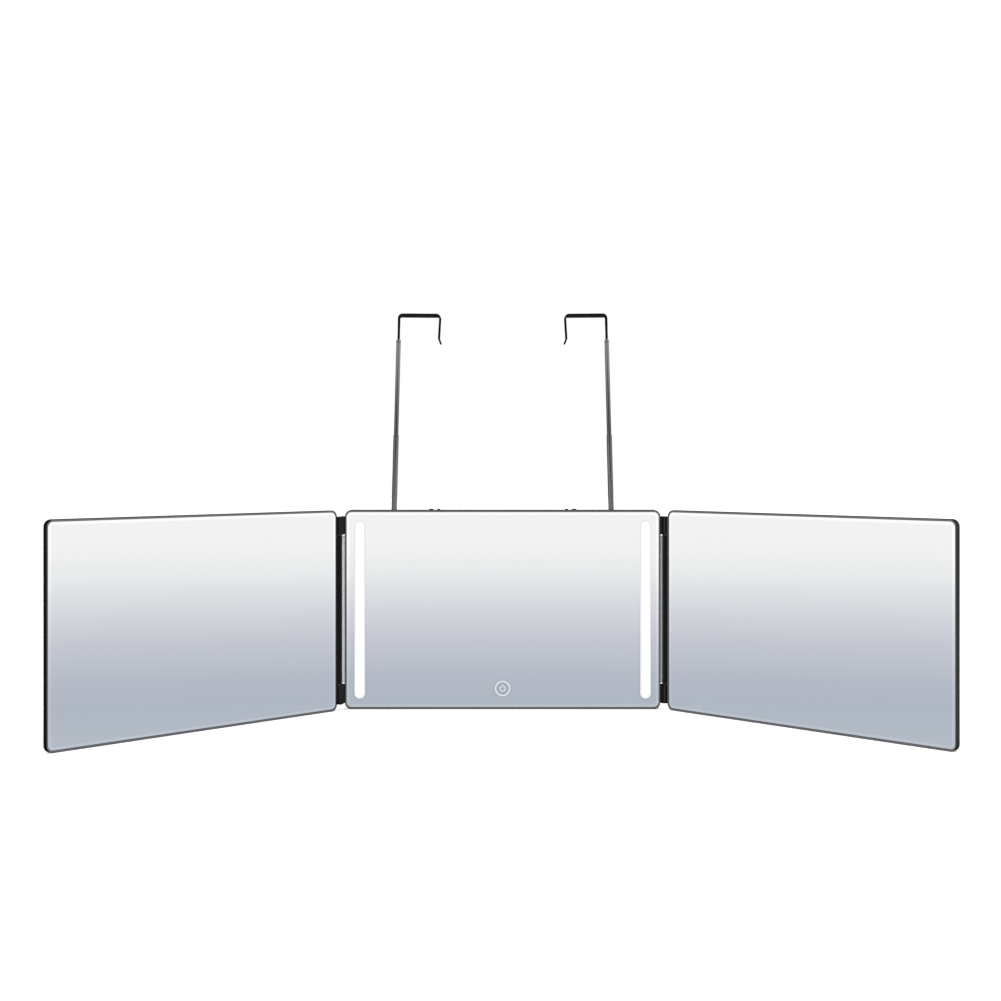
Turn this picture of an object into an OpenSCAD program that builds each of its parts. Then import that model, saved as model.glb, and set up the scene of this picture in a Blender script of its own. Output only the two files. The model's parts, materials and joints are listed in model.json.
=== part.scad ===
// Trifold vanity mirror: three equal framed mirrors side by side. The middle one has two light
// windows and a touch key, and two telescopic rods with door hooks stand behind it.
// Millimetres. The origin is the middle of the centre panel's underside. +X is the viewer's right,
// +Y points away from the viewer, +Z is up, and all three panels stand on z = 0.
// The wings are drawn swung forward. The right wing folds first, and the left one folds over it.

/* [Panels] */
// Width of each of the three panels
panel_w = 290; // [250:1:330]
// Height of each panel
panel_h = 183.2; // [172:0.1:220]
// Depth of the centre panel from its lip to its back
centre_depth = 12; // [11.5:0.1:15]
// Depth of each wing from its lip to its back
wing_depth = 6.6; // [6.4:0.1:9]
// Radius of the panels' corners
corner_r = 6; // [5:0.5:9]
// Width of the lip at both sides of each glass
lip_w = 1.4; // [1:0.1:1.8]
// Width of the lip above and below each glass
lip_h = 1.9; // [1:0.1:2.4]
// Rounding of the lip's outer front edge
lip_round = 0.4; // [0.2:0.1:0.6]
// Thickness of the web that carries the centre glass
centre_web_t = 1.4; // [1:0.1:1.8]
// Thickness of the web that carries a wing's glass
wing_web_t = 1.2; // [1:0.1:1.6]
// Back wall of the centre panel's cover
centre_wall = 1.8; // [1.4:0.1:2.2]
// Back wall of a wing's cover
wing_wall = 1.4; // [1.2:0.1:1.6]
// Side wall of the covers
side_wall = 1.8; // [1.6:0.1:2.2]
// Rounding of the centre cover's back edge
centre_round = 3; // [2:0.5:3.5]
// Rounding of a wing cover's back edge
wing_round = 2; // [1:0.5:2]

/* [Mirrors] */
// Thickness of the mirror glass
glass_t = 2; // [1.8:0.1:2.4]
// Depth of the glass below the lip
glass_recess = 0.2; // [0.1:0.05:0.3]
// Gap between the glass and the lip
glass_gap = 0.15; // [0.1:0.05:0.25]
// Width of the ground edge of the glass
bevel_w = 2.4; // [1:0.1:3]
// Depth of the ground edge at its rim
bevel_t = 0.5; // [0.3:0.1:0.8]
// Thickness of the adhesive pads behind the glass
pad_t = 0.4; // [0.3:0.05:0.6]
// Width of an adhesive pad
pad_w = 40; // [25:1:50]

/* [Lights and touch key] */
// Width of a light window
window_w = 10.1; // [8:0.1:12]
// Ends of a light window from the panel's top and bottom
window_margin = 9.55; // [8:0.05:16]
// Middle of a light window, from the side of the panel
window_inset = 13.6; // [12:0.1:18]
// Middle of the touch key above the panel's underside
key_z = 19.1; // [18:0.1:30]
// Outer diameter of the touch key's ring
key_d = 14.3; // [12:0.1:18]
// Width of the key's lit lines
key_line = 1.3; // [1:0.1:1.8]

/* [Wing hinges] */
// Angle that the wings are swung forward from flat
rest_angle = 45; // [20:0.5:80]
// Centre panel's side to the hinge axis
hinge_offset = 3.4; // [3.3:0.1:4.5]
// Radius of the hinge barrels and knuckles
barrel_r = 1.8; // [1.7:0.1:2.1]
// Radius of the hinge pins
pin_r = 1; // [0.8:0.05:1.1]
// Right hinge axis ahead of the right wing's face
right_lead = 0.6; // [0.4:0.1:1]
// Left hinge axis ahead of the left wing's face
left_lead = 1.6; // [1.2:0.1:1.8]
// Reach of a wing's corner past its axis, seen from the front
hinge_reach = 3.82; // [3.8:0.01:4.4]
// Clear gap between folded panels
fold_gap = 1.7; // [0.8:0.1:2.2]
// Bottom of the lower knuckle above the underside
low_knuckle_z = 5.8; // [5:0.1:12]
// Height of the lower knuckle
low_knuckle_h = 17.3; // [12:0.1:24]
// Top of the upper knuckle below the panel's top
top_knuckle_drop = 5.8; // [5:0.1:12]
// Height of the upper knuckle
top_knuckle_h = 16.7; // [12:0.1:24]
// Thickness of a friction washer
washer_t = 0.5; // [0.4:0.1:0.8]
// Width of the pale strip between the knuckles, from the panel's side
strip_reach = 2.8; // [2.4:0.1:3.2]

/* [Rods] */
// Rod axis from the side of the panel, at the panel's top
rod_inset = 44; // [42:0.1:53]
// Inward lean of the rods
rod_lean = 1.5; // [0:0.1:2]
// Back of the centre panel to the rod axis
rod_standoff = 6.6; // [6.4:0.1:9]
// Outer radius of the lower tube
low_tube_r = 2.5; // [2.45:0.05:2.8]
// Outer radius of the upper tube
top_tube_r = 2.08; // [1.95:0.01:2.12]
// Radius of the hook's shank
shank_r = 1.15; // [1:0.05:1.4]
// Height of the lower tube's mouth above the panel
low_tube_top = 69.2; // [60:0.1:80]
// Length of the lower tube
low_tube_l = 150; // [140:1:155]
// Length of the upper tube that shows above the lower tube's mouth
top_tube_show = 85.8; // [80:0.1:100]
// Length of the upper tube's guided end inside the lower tube
top_tube_hold = 12.4; // [10:0.1:20]
// Running clearance between sliding or turning round pieces
run_gap = 0.04; // [0.02:0.01:0.06]
// Clear gap at the rods' end stops
stop_gap = 0.3; // [0.2:0.1:0.6]
// Height of a rod guide
guide_h = 16; // [12:1:20]
// Drop of the upper guide's top below the panel's top
top_guide_drop = 8; // [6:0.5:12]

/* [Door hooks] */
// Width of the hook's steel strip
strip_w = 12; // [10:0.5:12.5]
// Thickness of the strip
strip_t = 1.6; // [1.4:0.1:2.2]
// Rod axis to the middle of the hook's outer leg, at the bar
hook_span = 38.2; // [34:0.1:44]
// Inner bend radius of the strip
hook_bend = 2.8; // [2:0.1:4]
// Top of the ferrule to the top of the hook's bar
hook_rise = 23.8; // [22:0.1:30]
// Top of the bar down to the kink of the leg
leg_h = 22.2; // [20:0.1:26]
// Rise of the bar towards the leg
bar_tilt = 1.1; // [0:0.1:2]
// Closing angle of the leg
leg_angle = 2; // [1:0.5:5]
// Length of the flared tip
flare_h = 4.6; // [4:0.1:7]
// Angle of the flared tip to the leg
flare_angle = 23; // [12:1:27]
// Height of the ferrule on top of the upper tube
ferrule_h = 3.2; // [3:0.1:4]
// Thickness of the soft pad under the bar
door_pad_t = 1.3; // [0.6:0.1:1.6]

/* [Electronics] */
// Width of the battery
battery_w = 50; // [40:1:60]
// Height of the battery
battery_h = 34; // [28:1:40]
// Thickness of the battery
battery_t = 4; // [3.5:0.1:4.4]
// Width of the control board
board_w = 46; // [40:1:52]
// Height of the control board
board_h = 24; // [22:0.5:28]
// Middle of the control board from the middle of the panel
board_x = 60; // [50:1:66]
// Radius of the inner leads
wire_r = 0.6; // [0.4:0.1:0.8]

/* [Hidden] */
$fn = 64;
EPS = 0.01;
LEFT = -1;
RIGHT = 1;

BLACK = "#1b1b1d";
MIRROR = "#c9d2da";
OPAL = "#fbfdff";
STEEL = "#8f9296";
BOARD_GREEN = "#2c5a3c";

// Depths, counted in Y: the panel's middle plane is y = 0.
front_y = -centre_depth / 2;
back_y = centre_depth / 2;
glass_y = front_y + glass_recess;
centre_frame_d = glass_recess + glass_t + pad_t + centre_web_t;
wing_frame_d = glass_recess + glass_t + pad_t + wing_web_t;
seam_y = front_y + centre_frame_d;
inside_y = back_y - centre_wall;
cavity_d = inside_y - seam_y;
side_x = panel_w / 2;
mid_z = panel_h / 2;

// The glass, as it lies inside the lip.
glass_w = panel_w - 2 * (lip_w + glass_gap);
glass_h = panel_h - 2 * (lip_h + glass_gap);
glass_r = corner_r - lip_w - glass_gap;
pad_h = 2 * panel_h / 3;
pad_pitch = (glass_w - pad_w) / 3;

// Light windows, boards and the touch key.
window_x = side_x - window_inset;
window_h = panel_h - 2 * window_margin;
slot_edge = 1;
light_slot_w = window_w - 2 * slot_edge;
led_board_w = light_slot_w + 3;
led_board_h = window_h - 4;
led_board_t = 1;
led_count = 14;
led_pitch = led_board_h / led_count;
led_w = 2.8;
led_h = 3.5;
led_t = 0.8;
window_gap = 0.05;
key_depth = 0.3;
sensor_r = key_d / 2 + 1.5;
symbol_r = 0.2 * key_d;
symbol_line = 0.7 * key_line;
sensor_t = 1;
sensor_back_y = glass_y + glass_t + sensor_t;
sensor_clear = 2;

// Control board, its posts and the charging port. The leads pass between the web and the board.
post_h = 2 * wire_r;
post_r = 1.5;
board_t = 1.2;
board_low_z = 3;
board_y = seam_y + post_h;
board_back_y = board_y + board_t;
port_w = 9;
port_h = 3.2;
port_l = 7.3;
port_wall = 0.3;
port_gap = 0.2;
port_z = 0.4;
port_y = board_back_y + port_h / 2;
battery_z = 76;

// Screws: one size for the covers and one for the brackets.
screw_r = 1;
screw_head_r = 2;
screw_head_t = 0.9;
slot_l = 2.4;
slot_w = 0.5;
slot_t = 0.5;
head_gap = 0.1;
boss_r = 2.8;
cover_screw_x = window_x - led_board_w / 2 - boss_r - 3;
screw_edge = 12;
cover_screw_spots = [
    [-cover_screw_x, screw_edge], [cover_screw_x, screw_edge],
    [-cover_screw_x, panel_h - screw_edge], [cover_screw_x, panel_h - screw_edge],
    [0, panel_h - screw_edge]
];
wing_screw_spots = [
    [screw_edge, screw_edge], [panel_w - screw_edge, screw_edge],
    [screw_edge, panel_h - screw_edge], [panel_w - screw_edge, panel_h - screw_edge]
];
bracket_boss_r = 2.5;
bracket_boss_h = 2;

// Hinges. Each axis lies so far forward that the folded wing clears what it folds over.
axis_x = side_x + hinge_offset;
barrel_gap = 0.3;
right_axis_y = front_y - fold_gap + right_lead;
left_axis_y = front_y - fold_gap - wing_depth - fold_gap + left_lead;
low_knuckle_top = low_knuckle_z + low_knuckle_h;
top_knuckle_top = panel_h - top_knuckle_drop;
top_knuckle_z = top_knuckle_top - top_knuckle_h;
axial_gap = 0.1;
barrel_z = low_knuckle_top + washer_t + axial_gap;
barrel_h = top_knuckle_z - washer_t - axial_gap - barrel_z;
pin_floor = 1;
knuckle_embed = lip_w - 0.1;

// Pale strips: an angle of thin sheet on the panel's side, behind the hinge barrel.
side_strip_t = 0.8;
side_strip_y = right_axis_y + barrel_r + barrel_gap + 0.1;
side_strip_end = 1;

// Rods. Along a rod, s = 0 is level with the panel's top.
rod_x = side_x - rod_inset;
rod_y = back_y + rod_standoff;
mouth_r = top_tube_r + run_gap;
low_bore_r = mouth_r + 0.13;
top_bore_r = shank_r + run_gap;
shank_hold = 20;
mouth_l = top_tube_hold - stop_gap;
top_tube_s = low_tube_top - top_tube_hold;
ferrule_s = low_tube_top + top_tube_show;
ferrule_top = ferrule_s + ferrule_h;
hook_top = ferrule_top + hook_rise;
plug_t = 3;
plug_spigot = 6;
low_tube_s = low_tube_top - low_tube_l;
stop_h = 4;
stop_r = low_tube_r + 0.8;
low_guide_s = low_tube_s + stop_h + stop_gap;
top_guide_s = -top_guide_drop - guide_h;
guide_shell_r = low_tube_r + 1.7;
flange_t = 2;
flange_reach = 11.5;
flange_screw_u = 8.5;
bracket_screw_l = flange_t + centre_wall + bracket_boss_h - 0.6;

// Full travels: the lower tube sinks until its mouth is level with the guide, the upper until it is in.
low_travel = low_tube_top + top_guide_drop - 0.8;
top_travel = top_tube_show - 0.1;

// Hook: middle line of the strip, in the rod's own plane, with u towards the panel's middle. The bar
// and the leg are drawn from the centre of the first bend, in a frame that is turned by the bar's tilt.
// The straight pieces reach a little into the bends, whose faces stand a hair further out: so their
// flat and curved faces meet in clean edges.
bend_lap = 0.12;
bend_step = 0.002;
bend_r = hook_bend + strip_t / 2;
bend_s = hook_top - strip_t / 2 - bend_r;
bar_l = hook_span - 2 * bend_r;
strip_skirt = 8;
skirt_s = bend_s - strip_skirt;
leg_top_u = bend_r + bar_l * cos(bar_tilt) + bend_r * cos(leg_angle);
leg_top_s = bend_s + bar_l * sin(bar_tilt) - bend_r * sin(leg_angle);
kink_s = hook_top - leg_h;
leg_l = (leg_top_s - kink_s) / cos(leg_angle);
kink_u = leg_top_u - leg_l * sin(leg_angle);

// Parking clip: the leg drops between its prongs when both tubes are pushed in. The slot reaches
// from the leg's kink, on the rod's side, to its flared tip, on the side of the panel's middle.
parked_kink_s = kink_s - low_travel - top_travel;
clip_x = rod_x - kink_u * cos(rod_lean) - parked_kink_s * sin(rod_lean);
clip_play = 0.4;
clip_outer_side = strip_t / 2 + clip_play;
clip_inner_side = strip_t / 2 + flare_h * sin(flare_angle - leg_angle) + clip_play;
outer_prong_w = 3.6;
inner_prong_w = 2.4;
prong_d = 10;
clip_top = panel_h + 0.4;
clip_h = 22;
clip_base_h = 9;

// ---- helpers -----------------------------------------------------------------------------------

// The right-hand form as it is, or mirrored for the left.
module on_side(side) {
    if (side < 0) mirror([1, 0, 0]) children();
    else children();
}

// Lays a plate drawn in XY upright: its Y becomes height and its Z becomes depth away from the viewer.
module upright() {
    mirror([0, 1, 0]) rotate([90, 0, 0]) children();
}

module rounded_rect(w, h, r) {
    square([w - 2 * r, h], center = true);
    square([w, h - 2 * r], center = true);
    for (x = [-1, 1], y = [-1, 1])
        translate([x * (w / 2 - r), y * (h / 2 - r)]) circle(r);
}

// A rounded rectangular plate whose edge has the outline of children(), drawn with x from the
// corner's centre out to the edge at x = r and y as depth.
module edged_plate(w, h, r, d) {
    run_x = w - 2 * r;
    run_y = h - 2 * r;
    translate([-run_x / 2, -run_y / 2, 0]) cube([run_x, run_y, d]);
    for (turn = [0, 1]) rotate([0, 0, 180 * turn]) {
        translate([run_x / 2, run_y / 2, 0]) rotate([90, 0, 0]) linear_extrude(run_y) children();
        translate([run_x / 2, run_y / 2, 0]) rotate_extrude() children();
        rotate([0, 0, 90]) translate([run_y / 2, run_x / 2, 0])
            rotate([90, 0, 0]) linear_extrude(run_x) children();
        translate([-run_x / 2, run_y / 2, 0]) rotate_extrude() children();
    }
}

// Edge outline rounded at its front.
module front_round_edge(r, d, e) {
    translate([0, e]) square([r, d - e]);
    square([r - e, d]);
    translate([r - e, e]) circle(e);
}

// Edge outline rounded at its back.
module back_round_edge(r, d, e) {
    square([r, d - e]);
    square([r - e, d]);
    translate([r - e, d - e]) intersection() {
        circle(e);
        square(e);
    }
}

// Edge outline ground to a slope at its front.
module ground_edge(r, d) {
    polygon([[0, 0], [r - bevel_w, 0], [r, bevel_t], [r, d], [0, d]]);
}

module capsule(w, h) {
    square([w, h - w], center = true);
    for (y = [-1, 1]) translate([0, y * (h - w) / 2]) circle(w / 2);
}

// A hole or shaft that runs along Y from y to y + l.
module bar_y(r, y, l) {
    translate([0, y, 0]) rotate([-90, 0, 0]) cylinder(r = r, h = l);
}

// A screw seen from behind: its head's outer face is at y = 0 and its shank points to the viewer.
module screw(l) {
    difference() {
        union() {
            bar_y(screw_head_r, -screw_head_t, screw_head_t);
            bar_y(screw_r, -screw_head_t - l, l + EPS);
        }
        for (turn = [0, 90]) rotate([0, turn, 0])
            translate([-slot_l / 2, -slot_t, -slot_w / 2]) cube([slot_l, slot_t + 1, slot_w]);
    }
}

// ---- panels ------------------------------------------------------------------------------------

// A framed tray: lip, pocket for the glass and the web behind it. Its middle is at x = 0, z = mid_z.
module tray(d, web_t) {
    translate([0, 0, mid_z]) upright() difference() {
        edged_plate(panel_w, panel_h, corner_r, d) front_round_edge(corner_r, d, lip_round);
        translate([0, 0, -1]) linear_extrude(d - web_t + 1)
            rounded_rect(panel_w - 2 * lip_w, panel_h - 2 * lip_h, corner_r - lip_w);
    }
}

// The glass of one panel, its front at y = 0.
module glass() {
    translate([0, 0, mid_z]) upright()
        edged_plate(glass_w, glass_h, glass_r, glass_t) ground_edge(glass_r, glass_t);
}

// Three upright adhesive pads, their front at y = 0.
module glass_pads() {
    for (i = [-1, 0, 1])
        translate([i * pad_pitch - pad_w / 2, 0, mid_z - pad_h / 2]) cube([pad_w, pad_t, pad_h]);
}

// A cover shell whose open side meets the tray at y = 0.
module cover(d, wall, edge) {
    translate([0, 0, mid_z]) upright() difference() {
        edged_plate(panel_w, panel_h, corner_r, d) back_round_edge(corner_r, d, edge);
        translate([0, 0, -1]) linear_extrude(d - wall + 1)
            rounded_rect(panel_w - 2 * side_wall, panel_h - 2 * side_wall, corner_r - side_wall);
    }
}

// Screw boss on the back of a tray, from its seam at y = 0.
module boss(h) {
    bar_y(boss_r, -EPS, h + EPS);
}

// Head seat and through hole for a cover screw; the cover's back is at y = 0.
module screw_seat(wall) {
    bar_y(screw_head_r + head_gap, -screw_head_t, screw_head_t + 1);
    bar_y(screw_r + head_gap, -wall - 1, wall + 2);
}

// ---- centre panel ------------------------------------------------------------------------------

// Outline of a knuckle seen from above: a round end on the hinge axis and an arm to the frame's side.
module knuckle_outline(axis_y) {
    translate([axis_x, axis_y]) circle(barrel_r);
    polygon([
        [side_x - knuckle_embed, front_y + 0.4], [side_x + 0.2, front_y + 0.2],
        [axis_x - barrel_r, axis_y], [axis_x + barrel_r, axis_y],
        [side_x + hinge_offset - 0.6, seam_y], [side_x - knuckle_embed, seam_y]
    ]);
}

module knuckles(axis_y) {
    translate([0, 0, low_knuckle_z]) linear_extrude(low_knuckle_h) knuckle_outline(axis_y);
    translate([0, 0, top_knuckle_z]) linear_extrude(top_knuckle_h) knuckle_outline(axis_y);
}

function axis_y_of(side) = side < 0 ? left_axis_y : right_axis_y;
function lead_of(side) = side < 0 ? left_lead : right_lead;

// Hinge pin of the centre panel: pressed into both knuckles, blind at the bottom.
module pin_shape(side) {
    translate([axis_x, axis_y_of(side), low_knuckle_z + pin_floor])
        cylinder(r = pin_r, h = top_knuckle_top - low_knuckle_z - pin_floor);
}

module centre_frame() {
    color(BLACK) difference() {
        union() {
            translate([0, front_y, 0]) tray(centre_frame_d, centre_web_t);
            for (side = [LEFT, RIGHT]) on_side(side) knuckles(axis_y_of(side));
            for (p = cover_screw_spots) translate([p[0], seam_y, p[1]]) boss(cavity_d);
            for (x = [-1, 1], z = [4, board_h - 4])
                translate([board_x + x * (board_w / 2 - 4), seam_y, board_low_z + z])
                    bar_y(post_r, -EPS, post_h + EPS);
        }
        for (side = [LEFT, RIGHT]) on_side(side) {
            pin_shape(side);
            translate([window_x, seam_y - centre_web_t - 1, mid_z]) upright()
                linear_extrude(centre_web_t + 2) capsule(light_slot_w, window_h - 2 * slot_edge);
        }
        translate([0, 0, key_z]) bar_y(sensor_r + glass_gap, seam_y - centre_web_t - 1, centre_web_t + 2);
        for (p = cover_screw_spots)
            translate([p[0], 0, p[1]]) bar_y(screw_r, seam_y + 0.4, cavity_d + 1);
    }
}

module key_outline() {
    difference() {
        circle(key_d / 2);
        circle(key_d / 2 - key_line);
    }
    difference() {
        circle(symbol_r);
        circle(symbol_r - symbol_line);
        translate([-key_line, 0]) square([2 * key_line, key_d]);
    }
    translate([-symbol_line / 2, symbol_line]) square([symbol_line, symbol_r]);
}

module key_inlay() {
    translate([0, glass_y, key_z]) upright() linear_extrude(key_depth) key_outline();
}

module window_block(w, h) {
    translate([window_x, glass_y, mid_z]) upright() linear_extrude(glass_t) capsule(w, h);
}

module centre_glass() {
    color(MIRROR) difference() {
        translate([0, glass_y, 0]) glass();
        for (side = [LEFT, RIGHT]) on_side(side)
            translate([window_x, glass_y - 1, mid_z]) upright()
                linear_extrude(glass_t + 2) capsule(window_w, window_h);
        key_inlay();
    }
}

module centre_glass_pads() {
    color("white") difference() {
        translate([0, glass_y + glass_t, 0]) glass_pads();
        translate([0, 0, key_z]) bar_y(sensor_r + sensor_clear, glass_y, glass_t + pad_t + 1);
    }
}

module light_window(side) {
    color(OPAL) on_side(side) window_block(window_w - 2 * window_gap, window_h - 2 * window_gap);
}

// Strip board on the back of the web; its chips shine forward through the slot.
module led_board(side) {
    color("white") on_side(side) translate([window_x, seam_y, mid_z]) {
        translate([-led_board_w / 2, 0, -led_board_h / 2]) cube([led_board_w, led_board_t, led_board_h]);
        for (i = [0 : led_count - 1])
            translate([-led_w / 2, -led_t, (i + 0.5) * led_pitch - led_board_h / 2 - led_h / 2])
                cube([led_w, led_t + EPS, led_h]);
    }
}

module touch_icon() {
    color("#dff0ff") key_inlay();
}

module touch_sensor() {
    color(BOARD_GREEN) translate([0, 0, key_z]) bar_y(sensor_r, glass_y + glass_t, sensor_t);
}

// A block on the control board; its middle lies at these shares of the board's width and height.
module chip(share_x, share_z, w, h, t) {
    translate([share_x * board_w - w / 2, board_t - EPS, share_z * board_h - h / 2])
        cube([w, t + EPS, h]);
}

module control_board() {
    color(BOARD_GREEN) translate([board_x - board_w / 2, board_y, board_low_z]) {
        cube([board_w, board_t, board_h]);
        chip(0.21, 0.68, 7, 7, 1.2);
        chip(0.49, 0.7, 5, 4, 1);
        chip(0.76, 0.66, 6, 6, 2);
        for (x = [0.34, 0.4, 0.62]) chip(x, 0.46, 1.2, 2, 0.8);
    }
}

module port_outline(grow) {
    for (x = [-1, 1]) translate([x * (port_w - port_h) / 2, 0]) circle(port_h / 2 + grow);
    square([port_w - port_h, port_h + 2 * grow], center = true);
}

// Charging socket: a flat round-ended shell with a tongue, its mouth in the cover's underside.
module usb_port() {
    color(STEEL) translate([board_x, port_y, port_z]) {
        difference() {
            linear_extrude(port_l) port_outline(0);
            translate([0, 0, -1]) linear_extrude(port_l) port_outline(-port_wall);
        }
        translate([-3.2, -0.35, 0.8]) cube([6.4, 0.7, port_l - 1]);
    }
}

module battery() {
    color("#b9bcc4") translate([-battery_w / 2, seam_y, battery_z]) cube([battery_w, battery_t, battery_h]);
}

// A straight lead from a to b with round ends.
module lead(a, b) {
    d = b - a;
    turn = norm([d[0], d[1]]) < EPS ? 0 : atan2(d[1], d[0]);
    translate(a) {
        sphere(wire_r);
        rotate([0, acos(d[2] / norm(d)), turn]) cylinder(r = wire_r, h = norm(d));
    }
    translate(b) sphere(wire_r);
}

// A lead through a row of points.
module wire(points) {
    for (i = [1 : len(points) - 1]) lead(points[i - 1], points[i]);
}

// Leads on the web, from under the control board's edges: to both light boards, which they reach
// above the lower screw bosses, to the battery and to the touch sensor.
module inner_wiring() {
    y = seam_y + wire_r;
    under = 2;
    light_z = screw_edge + boss_r + 2.7;
    sense_z = light_z + 3;
    light_edge = window_x - led_board_w / 2 - wire_r;
    left_end = board_x - board_w / 2 + under;
    right_end = board_x + board_w / 2 - under;
    top_end = board_low_z + board_h - under;
    battery_x = battery_w / 4;
    bend_z = (top_end + battery_z) / 2;
    tap = [sensor_r / 2, key_z + 3];
    bend_x = left_end - 6;
    color("#b03030") {
        wire([[right_end, y, light_z], [light_edge, y, light_z]]);
        wire([[-light_edge, y, light_z], [left_end, y, light_z]]);
        wire([[battery_x, y, battery_z - wire_r], [battery_x, y, bend_z], [board_x, y, bend_z],
            [board_x, y, top_end]]);
        wire([[tap[0], sensor_back_y + wire_r, tap[1]], [tap[0], y, tap[1]], [bend_x, y, tap[1]],
            [bend_x, y, sense_z], [left_end, y, sense_z]]);
    }
}

module port_mouth() {
    translate([board_x, port_y, -1]) linear_extrude(side_wall + 2) port_outline(port_gap);
}

module back_cover() {
    color(BLACK) difference() {
        union() {
            translate([0, seam_y, 0]) cover(back_y - seam_y, centre_wall, centre_round);
            at_bracket_screws() bar_y(bracket_boss_r, inside_y - bracket_boss_h, bracket_boss_h + EPS);
        }
        for (p = cover_screw_spots) translate([p[0], back_y, p[1]]) screw_seat(centre_wall);
        at_bracket_screws() bar_y(screw_r, back_y + flange_t - bracket_screw_l, bracket_screw_l + 1);
        port_mouth();
    }
}

module cover_screws() {
    color(STEEL) for (p = cover_screw_spots)
        translate([p[0], back_y, p[1]]) screw(back_y - seam_y - screw_head_t - 0.6);
}

// ---- rods and hooks ----------------------------------------------------------------------------

// The rod's own frame, right-hand form: Z runs up along the rod and -X points to the middle.
module rod_frame() {
    translate([rod_x, 0, panel_h]) rotate([0, -rod_lean, 0]) children();
}

// Places a child at every screw that holds a guide or a clip, at y = 0.
module at_bracket_screws() {
    for (side = [LEFT, RIGHT]) on_side(side) {
        rod_frame() for (s = [top_guide_s, low_guide_s], u = [-1, 1])
            translate([u * flange_screw_u, 0, s + guide_h / 2]) children();
        translate([clip_x, 0, clip_top - clip_h + clip_base_h / 2]) children();
    }
}

module bracket_screws() {
    color(STEEL) at_bracket_screws()
        translate([0, back_y + flange_t + screw_head_t, 0]) screw(bracket_screw_l - 0.2);
}

// A guide for the lower tube, screwed to the cover's back.
module guide(side, s) {
    color(BLACK) on_side(side) rod_frame() translate([0, 0, s]) difference() {
        union() {
            translate([0, rod_y, 0]) cylinder(r = guide_shell_r, h = guide_h);
            translate([-guide_shell_r, back_y, 0]) cube([2 * guide_shell_r, rod_standoff, guide_h]);
            translate([-flange_reach, back_y, 0]) cube([2 * flange_reach, flange_t, guide_h]);
        }
        translate([0, rod_y, -1]) cylinder(r = low_tube_r + run_gap, h = guide_h + 2);
        for (u = [-1, 1]) translate([u * flange_screw_u, 0, guide_h / 2])
            bar_y(screw_r + head_gap, back_y - 1, flange_t + 2);
    }
}

// Two prongs on a foot: the leg of the parked hook drops between them.
module hook_clip(side) {
    clip_w = inner_prong_w + clip_inner_side + clip_outer_side + outer_prong_w;
    prong_h = clip_h - clip_base_h;
    color(BLACK) on_side(side) translate([clip_x, back_y, clip_top - clip_h]) difference() {
        union() {
            translate([-clip_inner_side - inner_prong_w, 0, 0]) cube([clip_w, flange_t, clip_base_h]);
            translate([-clip_inner_side - inner_prong_w, 0, clip_base_h - EPS])
                cube([inner_prong_w, prong_d, prong_h + EPS]);
            translate([clip_outer_side, 0, clip_base_h - EPS])
                cube([outer_prong_w, prong_d, prong_h + EPS]);
        }
        translate([0, 0, clip_base_h / 2]) bar_y(screw_r + head_gap, -1, flange_t + 2);
    }
}

module lower_tube(side) {
    color(STEEL) on_side(side) rod_frame() translate([0, rod_y, low_tube_s]) difference() {
        cylinder(r = low_tube_r, h = low_tube_l);
        translate([0, 0, -1]) cylinder(r = low_bore_r, h = low_tube_l - mouth_l + 1);
        cylinder(r = mouth_r, h = low_tube_l + 1);
    }
}

// Collar on the lower tube's foot, which meets the lower guide when the tube is pulled up.
module tube_stop(side) {
    color(BLACK) on_side(side) rod_frame() translate([0, rod_y, low_tube_s]) difference() {
        cylinder(r = stop_r, h = stop_h);
        translate([0, 0, -1]) cylinder(r = low_tube_r, h = stop_h + 2);
    }
}

module upper_tube(side) {
    tube_l = top_tube_hold + top_tube_show;
    color(STEEL) on_side(side) rod_frame() translate([0, rod_y, top_tube_s]) difference() {
        cylinder(r = top_tube_r, h = tube_l);
        translate([0, 0, -1]) cylinder(r = top_bore_r, h = tube_l + 2);
    }
}

// Flanged plug in the upper tube's foot; it catches under the lower tube's narrower mouth.
module tube_plug(side) {
    color("#d8d4c8") on_side(side) rod_frame() translate([0, rod_y, top_tube_s - plug_t]) {
        cylinder(r = low_bore_r - run_gap, h = plug_t);
        cylinder(r = top_bore_r, h = plug_t + plug_spigot);
    }
}

// Side view of the bent strip: x is the distance from the rod towards the middle, y runs up the rod.
module strip_outline() {
    t = strip_t;
    closing = leg_angle + bar_tilt;
    translate([-t / 2, skirt_s]) square([t, strip_skirt + bend_lap]);
    translate([bend_r, bend_s]) bend_sector(180, 90 - bar_tilt);
    at_bar() {
        translate([-bend_lap, hook_bend]) square([bar_l + 2 * bend_lap, t]);
        translate([bar_l, 0]) {
            bend_sector(90, 90 + closing);
            rotate(-closing) translate([bend_r, 0]) {
                translate([-t / 2, -leg_l]) square([t, leg_l + bend_lap]);
                translate([0, -leg_l]) rotate(flare_angle) {
                    circle(t / 2);
                    translate([-t / 2, -flare_h]) square([t, flare_h]);
                    translate([0, -flare_h]) circle(t / 2);
                }
            }
        }
    }
}

// The bar's own frame: from the centre of the first bend, with x along the bar.
module at_bar() {
    translate([bend_r, bend_s]) rotate(bar_tilt) children();
}

// A bend of the strip round the origin: it starts in the direction first and turns clockwise by sweep.
module bend_sector(first, sweep) {
    far = 3 * bend_r;
    intersection() {
        difference() {
            circle(bend_r + strip_t / 2 + bend_step);
            circle(bend_r - strip_t / 2 + bend_step);
        }
        polygon([
            [0, 0], far * [cos(first), sin(first)],
            far * [cos(first - sweep / 2), sin(first - sweep / 2)],
            far * [cos(first - sweep), sin(first - sweep)]
        ]);
    }
}

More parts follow.
